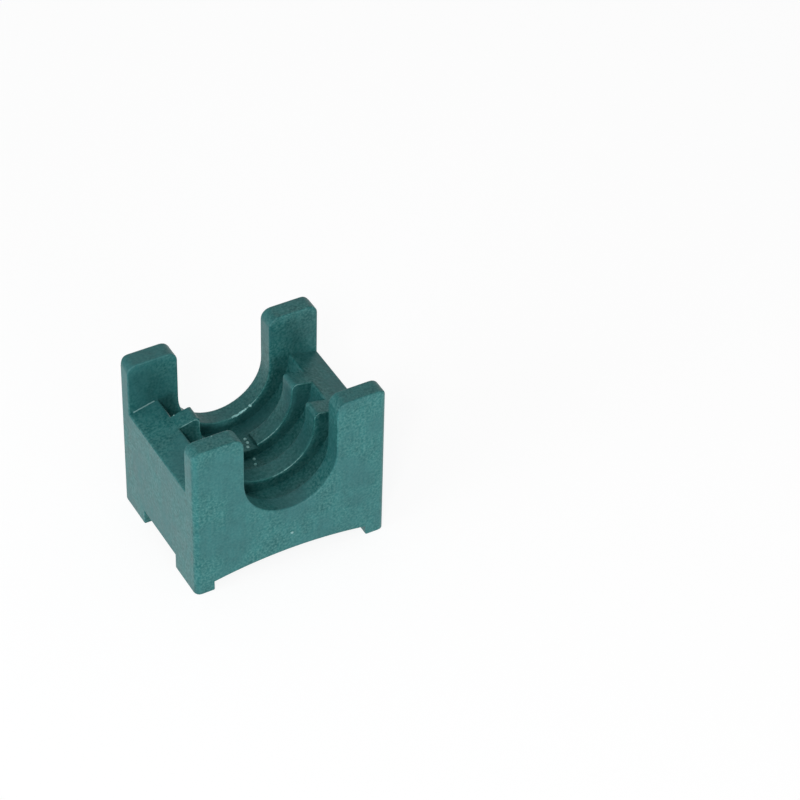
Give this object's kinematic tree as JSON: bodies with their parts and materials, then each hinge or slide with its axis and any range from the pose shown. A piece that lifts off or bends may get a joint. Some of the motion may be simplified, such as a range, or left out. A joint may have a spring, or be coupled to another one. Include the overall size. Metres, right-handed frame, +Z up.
{
  "type": "hydraulic tube clamp saddle",
  "caption": "One-piece moulded plastic saddle for a hydraulic tube, with a slot between upright prongs, a ribbed half-round cradle and corner feet.",
  "frame": {"origin": "middle of the bounding box at the floor that the feet stand on", "axes": "+X across the end plates, +Y along the tube, +Z up towards the slot's mouth"},
  "size_m": [0.0384, 0.03, 0.034],
  "materials": {
    "body": "satin moulded, green"
  },
  "bodies": {
    "root": {"clamp_saddle": "body"}
  },
  "joints": []
}
